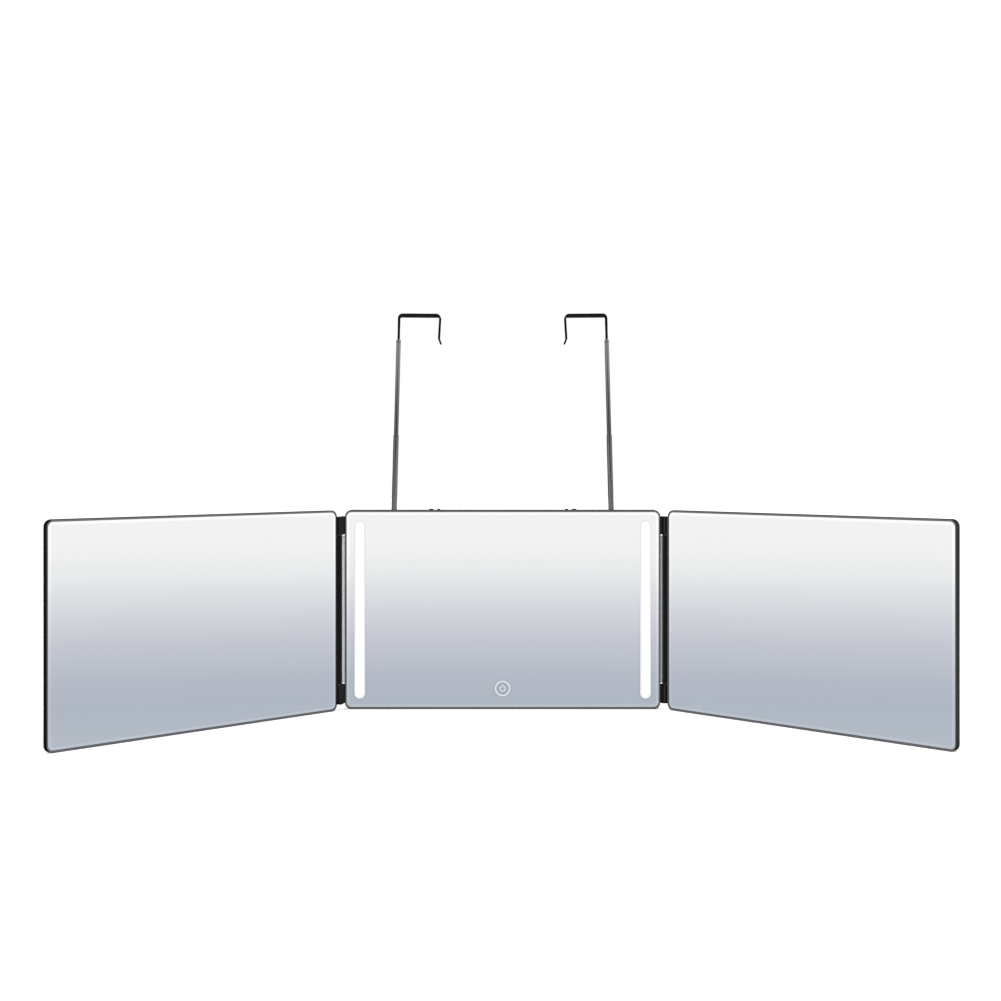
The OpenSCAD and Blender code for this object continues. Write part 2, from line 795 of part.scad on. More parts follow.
module hook(side) {
    color(BLACK) on_side(side) rod_frame() translate([0, rod_y, 0]) difference() {
        union() {
            strip_wide() strip_outline();
            translate([0, 0, ferrule_s - shank_hold])
                cylinder(r = shank_r, h = skirt_s + strip_skirt / 2 - ferrule_s + shank_hold);
        }
        rivet_bar(0);
    }
}

// Side view of the soft pad, which fills the strip's two bends and the space between them.
module pad_outline() {
    at_bar() intersection() {
        union() {
            square([bar_l, hook_bend]);
            for (u = [0, bar_l]) translate([u, 0]) circle(hook_bend);
        }
        translate([-bend_r, hook_bend - door_pad_t]) square([hook_span, door_pad_t]);
    }
}

// Gives a side view of the hook the strip's width.
module strip_wide() {
    mirror([1, 0, 0]) translate([0, strip_w / 2, 0]) rotate([90, 0, 0])
        linear_extrude(strip_w) children();
}

// Soft pad under the hook's bar.
module hook_pad(side) {
    color("#2b2b2d") on_side(side) rod_frame() translate([0, rod_y, 0]) strip_wide() pad_outline();
}

module rivet_bar(grow) {
    translate([0, 0, ferrule_s + ferrule_h * 0.4])
        bar_y(0.5, -top_tube_r - grow, 2 * (top_tube_r + grow));
}

// Ferrule round the shank: it rests on the upper tube's end and turns with the hook.
module ferrule(side) {
    color("#b4b7ba") on_side(side) rod_frame() translate([0, rod_y, 0]) difference() {
        translate([0, 0, ferrule_s]) rotate_extrude() polygon([
            [shank_r, 0], [top_tube_r, 0], [top_tube_r, ferrule_h * 0.75],
            [top_tube_r * 0.8, ferrule_h], [shank_r, ferrule_h]
        ]);
        rivet_bar(1);
    }
}

module hook_rivet(side) {
    color("#303033") on_side(side) rod_frame() translate([0, rod_y, 0]) rivet_bar(0.15);
}

// ---- wings -------------------------------------------------------------------------------------

// A wing's own frame, right-hand form: the hinge axis is Z, X runs out along the wing and Y is depth.
module wing_frame_place(side) {
    on_side(side) translate([axis_x, axis_y_of(side), 0]) rotate([0, 0, -rest_angle]) children();
}

// Inner end of a wing's panel and middle of the panel, from its hinge axis.
function wing_start(side) = hinge_reach - lead_of(side);
function wing_mid(side) = wing_start(side) + side_x;

// Outline of a wing's arm seen from above, from the hinge axis into the wing's frame.
module arm_outline(side) {
    end = wing_start(side) + knuckle_embed;
    polygon([
        [0, 0], [barrel_r + 0.4, 0.3], [end, lead_of(side) + 0.2],
        [end, lead_of(side) + wing_frame_d - 0.4], [0, barrel_r]
    ]);
}

// The barrel with its arm, and a rib on the frame's end that reaches close to the knuckles.
module wing_barrel(side) {
    translate([0, 0, barrel_z]) {
        cylinder(r = barrel_r, h = barrel_h);
        linear_extrude(barrel_h) arm_outline(side);
    }
    difference() {
        translate([0, 0, low_knuckle_z]) linear_extrude(top_knuckle_top - low_knuckle_z) intersection() {
            arm_outline(side);
            translate([barrel_r + 0.1, 0]) square(2 * wing_frame_d);
        }
        cylinder(r = barrel_r + barrel_gap, h = barrel_z);
        translate([0, 0, barrel_z + barrel_h]) cylinder(r = barrel_r + barrel_gap, h = panel_h);
    }
}

module wing_frame(side) {
    lead = lead_of(side);
    start = wing_start(side);
    color(BLACK) wing_frame_place(side) difference() {
        union() {
            translate([wing_mid(side), lead, 0]) tray(wing_frame_d, wing_web_t);
            wing_barrel(side);
            for (p = wing_screw_spots) translate([start + p[0], lead + wing_frame_d, p[1]])
                boss(wing_depth - wing_frame_d - wing_wall);
        }
        translate([0, 0, barrel_z - 1]) cylinder(r = pin_r + run_gap, h = barrel_h + 2);
        for (p = wing_screw_spots) translate([start + p[0], 0, p[1]])
            bar_y(screw_r, lead + wing_frame_d - wing_web_t + 0.3, wing_depth);
    }
}

module wing_glass(side) {
    color(MIRROR) wing_frame_place(side)
        translate([wing_mid(side), lead_of(side) + glass_recess, 0]) glass();
}

module wing_pads(side) {
    color("white") wing_frame_place(side)
        translate([wing_mid(side), lead_of(side) + glass_recess + glass_t, 0]) glass_pads();
}

module wing_back(side) {
    cover_d = wing_depth - wing_frame_d;
    color(BLACK) wing_frame_place(side) difference() {
        translate([wing_mid(side), lead_of(side) + wing_frame_d, 0]) cover(cover_d, wing_wall, wing_round);
        for (p = wing_screw_spots)
            translate([wing_start(side) + p[0], lead_of(side) + wing_depth, p[1]]) screw_seat(wing_wall);
    }
}

module wing_screws(side) {
    screw_l = wing_depth - wing_frame_d + wing_web_t - screw_head_t - 0.5;
    color(STEEL) wing_frame_place(side) for (p = wing_screw_spots)
        translate([wing_start(side) + p[0], lead_of(side) + wing_depth, p[1]]) screw(screw_l);
}

// ---- hinge pins and washers --------------------------------------------------------------------

module hinge_pin(side) {
    color(STEEL) on_side(side) pin_shape(side);
}

module hinge_washers(side) {
    color("#d8d4c8") on_side(side) translate([axis_x, axis_y_of(side), 0])
        for (z = [low_knuckle_top, top_knuckle_z - washer_t]) translate([0, 0, z]) difference() {
            cylinder(r = barrel_r - 0.1, h = washer_t);
            translate([0, 0, -1]) cylinder(r = pin_r + run_gap, h = washer_t + 2);
        }
}

// Strip that closes the slot between the panel's side and the hinge barrel, from knuckle to knuckle.
module side_strip(side) {
    z = low_knuckle_top + side_strip_end;
    color("#c4c6c8") on_side(side) translate([side_x, side_strip_y, z])
        linear_extrude(top_knuckle_z - side_strip_end - z) {
            square([strip_reach, side_strip_t]);
            square([side_strip_t, seam_y - side_strip_y]);
        }
}

// ---- nodes -------------------------------------------------------------------------------------

centre_frame();
centre_glass();
centre_glass_pads();
light_window(LEFT);  // left_light_window
light_window(RIGHT);  // right_light_window
led_board(LEFT);  // left_led_board
led_board(RIGHT);  // right_led_board
touch_icon();
touch_sensor();
control_board();
usb_port();
battery();
inner_wiring();
back_cover();
cover_screws();
guide(LEFT, top_guide_s);  // left_upper_guide
guide(RIGHT, top_guide_s);  // right_upper_guide
guide(LEFT, low_guide_s);  // left_lower_guide
guide(RIGHT, low_guide_s);  // right_lower_guide
hook_clip(LEFT);  // left_hook_clip
hook_clip(RIGHT);  // right_hook_clip
bracket_screws();
hinge_pin(LEFT);  // left_hinge_pin
hinge_pin(RIGHT);  // right_hinge_pin
hinge_washers(LEFT);  // left_hinge_washers
hinge_washers(RIGHT);  // right_hinge_washers
side_strip(LEFT);  // left_side_strip
side_strip(RIGHT);  // right_side_strip
wing_frame(LEFT);  // left_wing_frame
wing_frame(RIGHT);  // right_wing_frame
wing_glass(LEFT);  // left_wing_glass
wing_glass(RIGHT);  // right_wing_glass
wing_pads(LEFT);  // left_wing_pads
wing_pads(RIGHT);  // right_wing_pads
wing_back(LEFT);  // left_wing_back
wing_back(RIGHT);  // right_wing_back
wing_screws(LEFT);  // left_wing_screws
wing_screws(RIGHT);  // right_wing_screws
lower_tube(LEFT);  // left_lower_tube
lower_tube(RIGHT);  // right_lower_tube
tube_stop(LEFT);  // left_tube_stop
tube_stop(RIGHT);  // right_tube_stop
upper_tube(LEFT);  // left_upper_tube
upper_tube(RIGHT);  // right_upper_tube
tube_plug(LEFT);  // left_tube_plug
tube_plug(RIGHT);  // right_tube_plug
hook(LEFT);  // left_hook
hook(RIGHT);  // right_hook
hook_pad(LEFT);  // left_hook_pad
hook_pad(RIGHT);  // right_hook_pad
ferrule(LEFT);  // left_ferrule
ferrule(RIGHT);  // right_ferrule
hook_rivet(LEFT);  // left_hook_rivet
hook_rivet(RIGHT);  // right_hook_rivet
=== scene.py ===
"""Looks, studio and camera for a trifold vanity mirror: three framed mirrors, light windows, a touch key and
door hooks.

Metres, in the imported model's frame: +X to the viewer's right, +Y away from the viewer, +Z up, floor at z = 0.
A side is -1 for the left wing, 0 for the middle panel and 1 for the right wing.
"""

import json
from math import cos, radians, sin

import bpy
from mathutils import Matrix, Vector


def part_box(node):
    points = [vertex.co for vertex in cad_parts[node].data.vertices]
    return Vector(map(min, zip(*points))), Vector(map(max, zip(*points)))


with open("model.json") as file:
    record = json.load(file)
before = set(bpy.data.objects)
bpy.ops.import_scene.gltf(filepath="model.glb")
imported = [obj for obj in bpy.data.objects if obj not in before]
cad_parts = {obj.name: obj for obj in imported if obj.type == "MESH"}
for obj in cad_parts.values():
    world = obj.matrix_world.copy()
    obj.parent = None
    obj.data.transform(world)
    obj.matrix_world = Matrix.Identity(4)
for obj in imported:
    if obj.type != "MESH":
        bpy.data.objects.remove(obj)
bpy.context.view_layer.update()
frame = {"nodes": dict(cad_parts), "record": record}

# ---- driving dimensions --------------------------------------------------------------------------

MM = 0.001

# The photo's camera: level, in front of the middle panel, aimed at column MIDDLE_PX and row HORIZON_PX.
IMAGE_PX = 1001
SENSOR_MM = 36
CAMERA_Y = -1426 * MM
CAMERA_Z = 233.1 * MM
FOCAL_PX = 1544.8
MIDDLE_PX = 502.65
HORIZON_PX = 455.7
NEAREST_SEEN = 20 * MM

WING_SWING = radians(45)

# Cosines between a surface and its panel's glass: from the first the surface starts to count as facing the
# front, from the second it fully does.
NEARLY_FRONT = (0.97, 0.995)
SQUARELY_FRONT = (0.999, 0.9996)

# Most of a noise's values lie between these two.
NOISE_SPAN = (0.3, 0.7)

# Radius over which a piece's edges catch the light as if rounded.
MOULDED_EDGE = 0.3 * MM
FRAME_EDGE = 0.25 * MM
METAL_EDGE = 0.1 * MM
RUBBER_EDGE = 0.2 * MM

# Spacing of the lines on brushed metal.
METAL_LINE = 0.12 * MM

PLASTIC_IOR = 1.46
ENAMEL_IOR = 1.5

# Samples of the nodes that look around a point: rounded edges and open air.
LOOK_SAMPLES = 6

# A frame's lip faces the front squarely and lies at most this far behind the glass's face.
LIP_PLAY = 0.05 * MM

# Painted shade: a frame's reflections are dimmed where something stands closer to it than this. Its specular
# level goes from the first of these to the second as its share of open air does.
CREVICE_REACH = 14 * MM
CREVICE_AIR = (0.35, 1.0)
CREVICE_SHINE = (0.01, 0.24)

# The diffuser's dim rim: its width inside the light window's edge, and what it reaches past that edge.
RIM_W = 2.2 * MM
RIM_PAST = 0.2 * MM

# Shade on the silver round the lit shapes: how far it reaches, the height up to which it is strongest and the
# height from which there is none, and the strongest shade.
HALO_REACH = 2.2 * MM
HALO_HEIGHTS = (30 * MM, 140 * MM)
HALO_SHADE = 0.8

# The tubes' tones change with height, a painted reflection that is paler higher up: from this far above the
# middle glass, over this height on the lower tubes, then up to the upper tubes' ends, and over this height on
# the ferrules.
TUBE_TONES_START = 1.55 * MM
LOWER_TONES_H = 70 * MM
FERRULE_TONES_H = 4 * MM

# Nodes whose finish isn't the one that is named like their slot.
OWN_FINISH = {
    "centre_frame": "centre_black",
    "left_wing_frame": "left_black",
    "right_wing_frame": "right_black",
    "centre_glass": "centre_mirror",
    "left_wing_glass": "left_mirror",
    "right_wing_glass": "right_mirror",
    "left_lower_tube": "lower_chrome",
    "right_lower_tube": "lower_chrome",
    "left_upper_tube": "upper_chrome",
    "right_upper_tube": "upper_chrome",
    # The right strip takes a darker copy of the pale strip as painted shade.
    "right_side_strip": "shaded_strip",
}

# The studio's tone below the horizon, by elevation in degrees, as the glasses show it.
LOWER_TONES = [
    (-30, (0.80, 0.81, 0.82)),
    (-9.0, (0.462, 0.510, 0.581)),
    (-8.2, (0.485, 0.520, 0.594)),
    (-6.7, (0.594, 0.613, 0.673)),
    (-5.45, (0.718, 0.749, 0.782)),
    (-4.35, (0.861, 0.873, 0.880)),
    (-3.3, (0.945, 0.941, 0.936)),
    (-1, (0.960, 0.955, 0.950)),
]

# The studio's regions blend into one another between these parts of a unit direction.
HORIZON_Z = (-0.030, -0.012)
DARK_BAND_Z = (0.02, 0.075)
FRONT_EDGE_Y = (-0.95, -0.84)
BACK_EDGE_Y = (-0.03, 0.15)
RIGHT_BACK_X = (0.3, 0.9)

# Their tones: the front's from the dark band up, the sides', and the back's from the left to the far right.
FRONT_TONES = (0.03, 0.33)
SIDE_TONE = (0.58, 0.58, 0.59)
BACK_TONES = (0.03, 0.6)

# What reflections see is this many times as bright as what the camera sees.
REFLECTED_STRENGTH = 1.1

FLOOR_W = 14


def glass_facing(side):
    """Direction that a side's glass faces at rest."""
    return (-side * sin(WING_SWING), -cos(WING_SWING * abs(side)), 0)


def upright_shape(node):
    """Middle, width and height of a node's box at rest."""
    low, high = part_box(node)
    return (low + high) / 2, high.x - low.x, high.z - low.z


# ---- node helpers --------------------------------------------------------------------------------

def new_material(name):
    material = bpy.data.materials.new(name)
    material.use_nodes = True
    return material, material.node_tree, material.node_tree.nodes["Principled BSDF"]


def set_inputs(node, **values):
    for name, value in values.items():
        node.inputs[name.replace("_", " ")].default_value = value


def coords(tree, kind="Object"):
    return tree.nodes.new("ShaderNodeTexCoord").outputs[kind]


def parts_of(tree, vector):
    """Sockets X, Y and Z of a vector."""
    split = tree.nodes.new("ShaderNodeSeparateXYZ")
    tree.links.new(vector, split.inputs["Vector"])
    return split.outputs


def along(tree, vector, direction):
    """Length of a vector along a unit direction."""
    node = tree.nodes.new("ShaderNodeVectorMath")
    node.operation = "DOT_PRODUCT"
    tree.links.new(vector, node.inputs[0])
    node.inputs[1].default_value = direction
    return node.outputs["Value"]


def noise(tree, per_metre, detail=3, roughness=0.55, stretch=None):
    """Noise in object space, with so many features per metre."""
    node = tree.nodes.new("ShaderNodeTexNoise")
    set_inputs(node, Scale=per_metre, Detail=detail, Roughness=roughness)
    place = coords(tree)
    if stretch is not None:
        mapping = tree.nodes.new("ShaderNodeMapping")
        set_inputs(mapping, Scale=stretch)
        tree.links.new(place, mapping.inputs["Vector"])
        place = mapping.outputs["Vector"]
    tree.links.new(place, node.inputs["Vector"])
    return node.outputs["Fac"]


def remap(tree, value, span, result=(0, 1), smooth=False):
    """Takes a value at the ends of span to the ends of result, and no further."""
    node = tree.nodes.new("ShaderNodeMapRange")
    node.interpolation_type = "SMOOTHSTEP" if smooth else "LINEAR"
    set_inputs(node, From_Min=span[0], From_Max=span[1], To_Min=result[0], To_Max=result[1])
    tree.links.new(value, node.inputs["Value"])
    return node.outputs["Result"]


def feed(tree, value, socket):
    """Links a socket's value to a socket, or writes a constant into it."""
    if isinstance(value, bpy.types.NodeSocket):
        tree.links.new(value, socket)
    else:
        socket.default_value = value


def blend_colors(tree, factor, first, second):
    """Mix of two colours, each a constant or another node's output."""
    node = tree.nodes.new("ShaderNodeMix")
    node.data_type = "RGBA"
    feed(tree, factor, node.inputs["Factor"])
    for name, color in (("A", first), ("B", second)):
        feed(tree, color if isinstance(color, bpy.types.NodeSocket) else (*color, 1), node.inputs[name])
    return node.outputs["Result"]


def calculate(tree, operation, first, second=None):
    node = tree.nodes.new("ShaderNodeMath")
    node.operation = operation
    feed(tree, first, node.inputs[0])
    if second is not None:
        feed(tree, second, node.inputs[1])
    return node.outputs["Value"]


def two_tone_color(tree, shader, pattern, dark, light):
    """Base colour between two tones, as a pattern says."""
    tree.links.new(blend_colors(tree, pattern, dark, light), shader.inputs["Base Color"])


def uneven_gloss(tree, shader, pattern, at_low, at_high, span=NOISE_SPAN):
    """Roughness between two values, as a pattern says."""
    tree.links.new(remap(tree, pattern, span, (at_low, at_high)), shader.inputs["Roughness"])


def bump(tree, shader, height, distance, strength, edge_radius=None):
    """Bump from a height, over edges that a small radius rounds."""
    node = tree.nodes.new("ShaderNodeBump")
    set_inputs(node, Strength=strength, Distance=distance)
    tree.links.new(height, node.inputs["Height"])
    if edge_radius is not None:
        rounded = tree.nodes.new("ShaderNodeBevel")
        rounded.samples = LOOK_SAMPLES
        set_inputs(rounded, Radius=edge_radius)
        tree.links.new(rounded.outputs["Normal"], node.inputs["Normal"])
    tree.links.new(node.outputs["Normal"], shader.inputs["Normal"])


def facing_the_front(tree, side, span):
    """1 where the true surface looks the same way as that side's glass, else 0."""
    return remap(tree, along(tree, coords(tree, "Normal"), glass_facing(side)), span)


def off_capsule(tree, shape):
    """Distance from the spine of an upright round-ended shape, which lies mirrored on both sides of x = 0."""
    middle, width, height = shape
    place = parts_of(tree, coords(tree))
    across = calculate(tree, "SUBTRACT", calculate(tree, "ABSOLUTE", place["X"]), abs(middle.x))
    up = calculate(tree, "ABSOLUTE", calculate(tree, "SUBTRACT", place["Z"], middle.z))
    past_end = calculate(tree, "MAXIMUM", calculate(tree, "SUBTRACT", up, (height - width) / 2), 0.0)
    squares = calculate(tree, "ADD", calculate(tree, "MULTIPLY", across, across),
                        calculate(tree, "MULTIPLY", past_end, past_end))
    return calculate(tree, "SQRT", squares)


def halo(tree, lit_shapes):
    """Shade on the silver close to two lit shapes, stronger lower down."""
    near = []
    for shape in lit_shapes:
        edge = shape[1] / 2
        near.append(remap(tree, off_capsule(tree, shape), (edge, edge + HALO_REACH), (1, 0), smooth=True))
    lower = remap(tree, parts_of(tree, coords(tree))["Z"], HALO_HEIGHTS, (HALO_SHADE, 0))
    return calculate(tree, "MULTIPLY", calculate(tree, "MAXIMUM", *near), lower)


# ---- materials -----------------------------------------------------------------------------------

def moulded(name, dark, light, grain, depth, rough, shine=0.5):
    """Moulded plastic: a fine grain, faint colour drift and uneven gloss."""
    material, tree, shader = new_material(name)
    two_tone_color(tree, shader, noise(tree, per_metre=35, detail=4), dark, light)
    uneven_gloss(tree, shader, noise(tree, per_metre=160), rough - 0.04, rough + 0.05)
    set_inputs(shader, IOR=PLASTIC_IOR, Specular_IOR_Level=shine)
    skin = noise(tree, per_metre=1 / grain, detail=2)
    bump(tree, shader, skin, depth, strength=0.6, edge_radius=MOULDED_EDGE)
    return material


def panel_frame(name, side, glass):
    """Black moulding, its reflections dimmed in its crevices as painted shade, with a lip round the glass
    painted paler as a highlight.
    """
    material, tree, shader = new_material(name)
    front = Vector(glass_facing(side))
    face_at = max(front.dot(v.co) for v in frame["nodes"][glass].data.vertices)
    ahead = calculate(tree, "GREATER_THAN", along(tree, coords(tree), front), face_at - LIP_PLAY)
    lip = calculate(tree, "MULTIPLY", ahead, facing_the_front(tree, side, SQUARELY_FRONT))
    black_drift = noise(tree, per_metre=35, detail=4)
    black = blend_colors(tree, black_drift, (0.0012, 0.0012, 0.0014), (0.003, 0.003, 0.0033))
    # Painted highlight: the lip facing the front is a paler grey than the black.
    lip_highlight_drift = noise(tree, per_metre=60, detail=4)
    painted_lip_highlight = blend_colors(tree, lip_highlight_drift, (0.110, 0.110, 0.114), (0.130, 0.130, 0.134))
    two_tone_color(tree, shader, lip, black, painted_lip_highlight)
    uneven_gloss(tree, shader, noise(tree, per_metre=160), 0.30, 0.38)
    # Painted shade: the specular level drops with occlusion, which dims reflections in crevices and between
    # parts.
    open_air = tree.nodes.new("ShaderNodeAmbientOcclusion")
    open_air.samples = LOOK_SAMPLES
    set_inputs(open_air, Distance=CREVICE_REACH)
    shine = remap(tree, open_air.outputs["AO"], CREVICE_AIR, CREVICE_SHINE)
    tree.links.new(shine, shader.inputs["Specular IOR Level"])
    set_inputs(shader, IOR=PLASTIC_IOR)
    grain = noise(tree, per_metre=2400, detail=2)
    bump(tree, shader, grain, 0.003 * MM, strength=0.5, edge_radius=FRAME_EDGE)
    return material


def brushed(name, color, rough, stretch):
    """Drawn or brushed metal: fine lines along the direction that stretch squeezes."""
    material, tree, shader = new_material(name)
    lines = noise(tree, per_metre=1 / METAL_LINE, detail=4, stretch=stretch)
    darker = tuple(0.82 * c for c in color)
    two_tone_color(tree, shader, lines, darker, color)
    uneven_gloss(tree, shader, lines, rough - 0.06, rough + 0.08, span=(0.25, 0.75))
    set_inputs(shader, Metallic=1.0)
    bump(tree, shader, lines, 0.004 * MM, strength=0.4, edge_radius=METAL_EDGE)
    return material


def painted_steel(name, dark, light, rough):
    """Black enamel on steel with a slight orange peel."""
    material, tree, shader = new_material(name)
    two_tone_color(tree, shader, noise(tree, per_metre=60, detail=4), dark, light)
    uneven_gloss(tree, shader, noise(tree, per_metre=260), rough - 0.05, rough + 0.06)
    set_inputs(shader, IOR=ENAMEL_IOR, Specular_IOR_Level=0.12)
    bump(tree, shader, noise(tree, per_metre=1400, detail=1), 0.004 * MM, strength=0.5)
    return material


def mirror(name, side, lit_shapes=()):
    """Silvered glass. Its narrow ground edge shows what its face does, painted paler as an edge highlight. Lit
    shapes have a faint shade round them."""
    material, tree, shader = new_material(name)
    flat = facing_the_front(tree, side, NEARLY_FRONT)
    smears = noise(tree, per_metre=14, detail=5, roughness=0.6)
    silver = blend_colors(tree, smears, (0.843, 0.847, 0.851), (0.855, 0.859, 0.863))
    if lit_shapes:
        silver = blend_colors(tree, halo(tree, lit_shapes), silver, (0.70, 0.70, 0.70))
    # Painted highlight: the ground edge takes white where the face takes silver.
    two_tone_color(tree, shader, flat, (1, 1, 1), silver)
    uneven_gloss(tree, shader, flat, 0.03, 0.015, span=(0, 1))
    set_inputs(shader, Metallic=1.0)
    level = tree.nodes.new("ShaderNodeVectorTransform")
    level.vector_type = "NORMAL"
    level.convert_from, level.convert_to = "OBJECT", "WORLD"
    set_inputs(level, Vector=glass_facing(side))
    tree.links.new(level.outputs["Vector"], shader.inputs["Normal"])
    return material


def frosted_light(name, shape):
    """Lit opal window: even and white in the middle, a little dimmer at the rim where the diffuser ends."""
    material, tree, shader = new_material(name)
    edge = shape[1] / 2
    rim = remap(tree, off_capsule(tree, shape), (edge - RIM_W, edge + RIM_PAST), smooth=True)
    glow = blend_colors(tree, rim, (0.99, 0.99, 1.0), (0.62, 0.64, 0.66))
    clouds = remap(tree, noise(tree, per_metre=90, detail=4), NOISE_SPAN, (0.96, 0.99))
    tree.links.new(glow, shader.inputs["Emission Color"])
    tree.links.new(clouds, shader.inputs["Emission Strength"])
    set_inputs(shader, Base_Color=(0.08, 0.08, 0.085, 1), Roughness=0.45)
    return material


def lit_symbol(name):
    """Lit print of the touch key: cool white, a little uneven."""
    material, tree, shader = new_material(name)
    glow = blend_colors(tree, noise(tree, per_metre=300), (0.72, 0.84, 1.0), (0.86, 0.93, 1.0))
    tree.links.new(glow, shader.inputs["Emission Color"])
    set_inputs(shader, Base_Color=(0.1, 0.1, 0.1, 1), Emission_Strength=0.78, Roughness=0.3)
    return material


def tube_chrome(name, low, high, heights, rough):
    """Dark chrome on a drawn tube. Its colour goes from low to high between two heights, a painted reflection.
    """
    material, tree, shader = new_material(name)
    painted_reflection_rise = remap(tree, parts_of(tree, coords(tree))["Z"], heights, smooth=True)
    two_tone_color(tree, shader, painted_reflection_rise, low, high)
    lines = noise(tree, per_metre=5000, stretch=(1, 1, 0.02))
    uneven_gloss(tree, shader, lines, rough - 0.03, rough + 0.05)
    set_inputs(shader, Metallic=1.0)
    bump(tree, shader, lines, 0.002 * MM, strength=0.3)
    return material


def soft_rubber(name, dark, light):
    """Rubber or foam: dull, with a coarse skin."""
    material, tree, shader = new_material(name)
    two_tone_color(tree, shader, noise(tree, per_metre=700, detail=4), dark, light)
    set_inputs(shader, Roughness=0.85, Specular_IOR_Level=0.2)
    skin = noise(tree, per_metre=2600, detail=2)
    bump(tree, shader, skin, 0.03 * MM, strength=0.7, edge_radius=RUBBER_EDGE)
    return material


def circuit(name):
    """Solder mask with a faint pattern of copper under it."""
    material, tree, shader = new_material(name)
    copper = tree.nodes.new("ShaderNodeTexBrick")
    copper.offset = 0.37
    set_inputs(copper, Scale=260, Mortar_Size=0.03, Color1=(0.012, 0.07, 0.035, 1),
               Color2=(0.015, 0.085, 0.04, 1), Mortar=(0.03, 0.15, 0.075, 1))
    tree.links.new(coords(tree), copper.inputs["Vector"])
    tree.links.new(copper.outputs["Color"], shader.inputs["Base Color"])
    uneven_gloss(tree, shader, noise(tree, per_metre=900), 0.28, 0.42)
    return material


def finishes():
    """Maker and settings of each material, by its name."""
    window = upright_shape("right_light_window")
    key = upright_shape("touch_icon")
    tube_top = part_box("right_upper_tube")[1].z
    tones_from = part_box("centre_glass")[1].z + TUBE_TONES_START
    tones_turn = tones_from + LOWER_TONES_H
    return {
        "cover_black": (moulded, dict(
            dark=(0.005, 0.005, 0.0055), light=(0.009, 0.009, 0.0095), grain=0.5 * MM, depth=0.02 * MM,
            rough=0.48, shine=0.4)),
        "white_board": (moulded, dict(
            dark=(0.76, 0.77, 0.75), light=(0.84, 0.85, 0.83), grain=0.8 * MM, depth=0.01 * MM, rough=0.4)),
        "battery_wrap": (moulded, dict(
            dark=(0.40, 0.43, 0.47), light=(0.47, 0.50, 0.54), grain=1.5 * MM, depth=0.02 * MM, rough=0.35)),
        "wire_cover": (moulded, dict(
            dark=(0.38, 0.015, 0.015), light=(0.48, 0.025, 0.022), grain=0.4 * MM, depth=0.01 * MM,
            rough=0.4)),
        "nylon": (moulded, dict(
            dark=(0.66, 0.64, 0.58), light=(0.74, 0.72, 0.66), grain=0.5 * MM, depth=0.01 * MM, rough=0.45)),
        "black_nylon": (moulded, dict(
            dark=(0.008, 0.008, 0.008), light=(0.014, 0.014, 0.014), grain=0.5 * MM, depth=0.01 * MM,
            rough=0.45, shine=0.3)),
        "pale_strip": (moulded, dict(
            dark=(0.80, 0.81, 0.82), light=(0.86, 0.87, 0.88), grain=0.6 * MM, depth=0.004 * MM,
            rough=0.4, shine=0.3)),
        # Painted shade: a darker copy of pale_strip, for the right strip.
        "shaded_strip": (moulded, dict(
            dark=(0.50, 0.51, 0.52), light=(0.55, 0.56, 0.57), grain=0.6 * MM, depth=0.004 * MM,
            rough=0.4, shine=0.3)),
        "centre_black": (panel_frame, dict(side=0, glass="centre_glass")),
        "left_black": (panel_frame, dict(side=-1, glass="left_wing_glass")),
        "right_black": (panel_frame, dict(side=1, glass="right_wing_glass")),
        "centre_mirror": (mirror, dict(side=0, lit_shapes=(window, key))),
        "left_mirror": (mirror, dict(side=-1)),
        "right_mirror": (mirror, dict(side=1)),
        "light_window": (frosted_light, dict(shape=window)),
        "key_light": (lit_symbol, {}),
        "circuit_board": (circuit, {}),
        "adhesive_foam": (soft_rubber, dict(dark=(0.75, 0.75, 0.72), light=(0.85, 0.85, 0.82))),
        "soft_pad": (soft_rubber, dict(dark=(0.005, 0.005, 0.005), light=(0.009, 0.009, 0.009))),
        "port_steel": (brushed, dict(color=(0.60, 0.61, 0.62), rough=0.3, stretch=(1, 1, 0.05))),
        "screw_steel": (brushed, dict(color=(0.30, 0.30, 0.31), rough=0.35, stretch=(1, 0.2, 1))),
        "dark_steel": (brushed, dict(color=(0.05, 0.05, 0.052), rough=0.4, stretch=(1, 0.3, 1))),
        "hook_paint": (painted_steel, dict(
            dark=(0.0006, 0.0006, 0.0008), light=(0.0018, 0.0018, 0.002), rough=0.36)),
        # Painted reflection: each chrome is paler higher up.
        "lower_chrome": (tube_chrome, dict(
            low=(0.19, 0.19, 0.195), high=(0.22, 0.22, 0.225), heights=(tones_from, tones_turn), rough=0.11)),
        "upper_chrome": (tube_chrome, dict(
            low=(0.19, 0.19, 0.195), high=(0.44, 0.44, 0.445), heights=(tones_turn, tube_top), rough=0.10)),
        "ferrule_chrome": (tube_chrome, dict(
            low=(0.30, 0.30, 0.31), high=(0.46, 0.46, 0.47), heights=(tube_top, tube_top + FERRULE_TONES_H),
            rough=0.22)),
    }


def dress_nodes():
    """Gives each node its procedural material: its own finish, or else its slot's."""
    materials = {name: make(name, **settings) for name, (make, settings) in finishes().items()}
    for part in frame["record"]["subparts"]:
        node = frame["nodes"][part["node"]]
        node.data.materials.clear()
        node.data.materials.append(materials[OWN_FINISH.get(part["node"], part["material_slot"])])
        # The panels show only the studio, as in the photo, and not one another.
        node.visible_glossy = False


# ---- studio --------------------------------------------------------------------------------------

def lower_tone(tree, height):
    """Tone below the horizon, by the height of a unit direction."""
    (first, first_tone), *between, (last, last_tone) = LOWER_TONES
    lowest, highest = sin(radians(first)), sin(radians(last))
    ramp = tree.nodes.new("ShaderNodeValToRGB")
    stops = ramp.color_ramp.elements
    for elevation, tone in between:
        stops.new((sin(radians(elevation)) - lowest) / (highest - lowest)).color = (*tone, 1)
    stops[0].color = (*first_tone, 1)
    stops[-1].color = (*last_tone, 1)
    tree.links.new(remap(tree, height, (lowest, highest)), ramp.inputs["Fac"])
    return ramp.outputs["Color"]


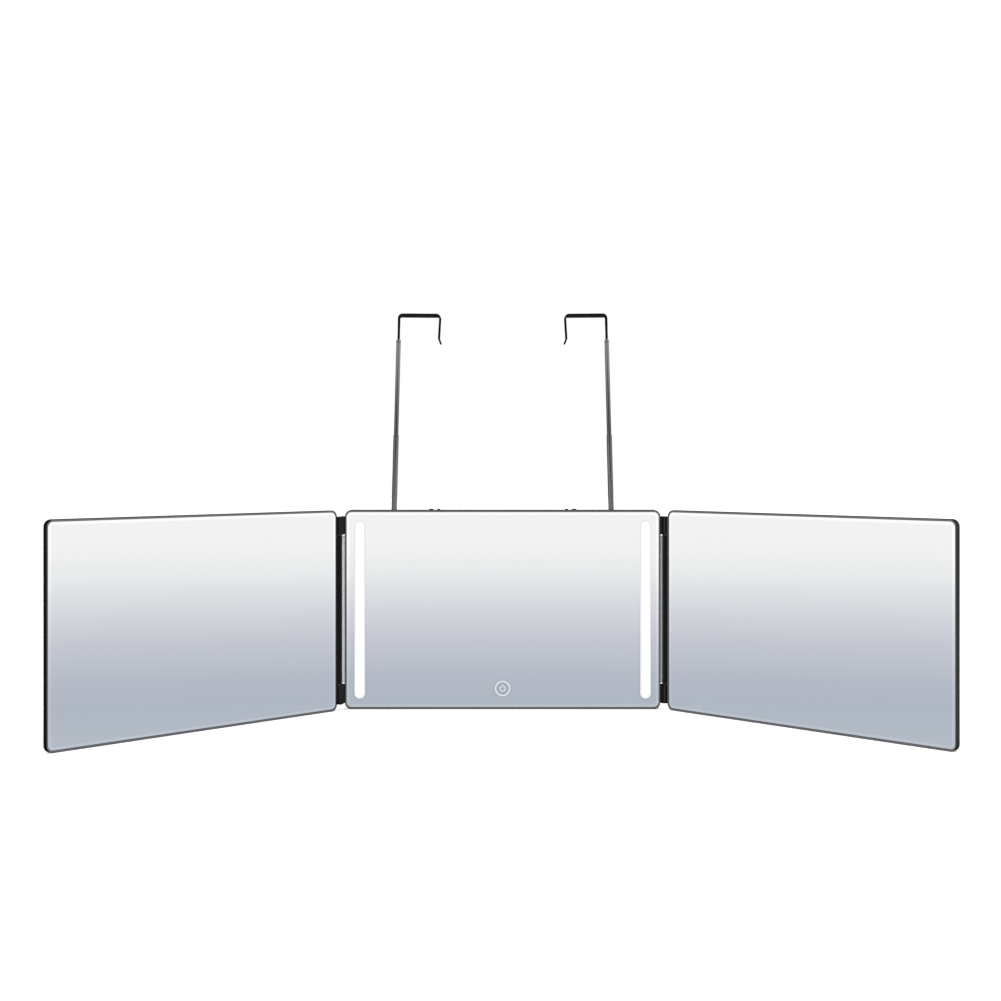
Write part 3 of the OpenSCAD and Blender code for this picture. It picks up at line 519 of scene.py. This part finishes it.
def studio_world():
    """White for the eye and for soft light. Reflections see a studio. Below the horizon its tone changes with
    elevation, as the glasses show. Above the horizon the front is dark between pale sides, as the tubes show.
    The back is dark, and paler to the far right."""
    world = bpy.data.worlds.new("studio")
    bpy.context.scene.world = world
    world.use_nodes = True
    tree = world.node_tree
    background = tree.nodes["Background"]
    direction = parts_of(tree, coords(tree, "Generated"))

    # The front is -Y.
    front = remap(tree, direction["Z"], DARK_BAND_Z, FRONT_TONES, smooth=True)
    aside = remap(tree, direction["Y"], FRONT_EDGE_Y, smooth=True)
    upper = blend_colors(tree, aside, front, SIDE_TONE)
    above = remap(tree, direction["Z"], HORIZON_Z, smooth=True)
    seen = blend_colors(tree, above, lower_tone(tree, direction["Z"]), upper)
    behind = remap(tree, direction["Y"], BACK_EDGE_Y, smooth=True)
    back = remap(tree, direction["X"], RIGHT_BACK_X, BACK_TONES, smooth=True)
    seen = blend_colors(tree, behind, seen, back)
    glossy = tree.nodes.new("ShaderNodeLightPath").outputs["Is Glossy Ray"]
    tree.links.new(blend_colors(tree, glossy, (1, 1, 1), seen), background.inputs["Color"])
    tree.links.new(remap(tree, glossy, (0, 1), (1, REFLECTED_STRENGTH)), background.inputs["Strength"])


def studio_floor():
    bpy.ops.mesh.primitive_plane_add(size=FLOOR_W, location=(0, 0, 0))
    floor = bpy.context.object
    floor.name = "studio_floor"
    material, tree, shader = new_material("pale_floor")
    two_tone_color(tree, shader, noise(tree, per_metre=6), (0.93, 0.93, 0.93), (0.95, 0.95, 0.95))
    set_inputs(shader, Roughness=0.9, Specular_IOR_Level=0.1, Emission_Color=(1, 1, 1, 1),
               Emission_Strength=0.3)
    floor.data.materials.append(material)
    floor.visible_glossy = False


def soft_box(name, place, aim, size, power):
    """Area light that neither the camera nor a reflection sees, with its power in watts."""
    light = bpy.data.lights.new(name, "AREA")
    light.shape = "RECTANGLE"
    light.size, light.size_y = size
    light.energy = power
    box = bpy.data.objects.new(name, light)
    bpy.context.scene.collection.objects.link(box)
    box.location = place
    box.visible_glossy = False
    box.visible_camera = False
    direction = Vector(aim) - Vector(place)
    box.rotation_euler = direction.to_track_quat("-Z", "Y").to_euler()


def photo_camera():
    lens = bpy.data.cameras.new("photo_camera")
    lens.sensor_width = SENSOR_MM
    lens.sensor_fit = "HORIZONTAL"
    lens.lens = FOCAL_PX / IMAGE_PX * SENSOR_MM
    lens.shift_x = (IMAGE_PX / 2 - MIDDLE_PX) / IMAGE_PX
    lens.shift_y = (HORIZON_PX - IMAGE_PX / 2) / IMAGE_PX
    lens.clip_start = NEAREST_SEEN
    camera = bpy.data.objects.new("photo_camera", lens)
    camera.location = (0, CAMERA_Y, CAMERA_Z)
    camera.rotation_euler = (radians(90), 0, 0)
    bpy.context.scene.collection.objects.link(camera)
    bpy.context.scene.camera = camera


dress_nodes()
studio_world()
studio_floor()
soft_box("overhead", place=(0, -0.3, 2.2), aim=(0, 0, 0.1), size=(3.0, 2.0), power=30)
photo_camera()
bpy.context.scene.view_settings.view_transform = "Standard"
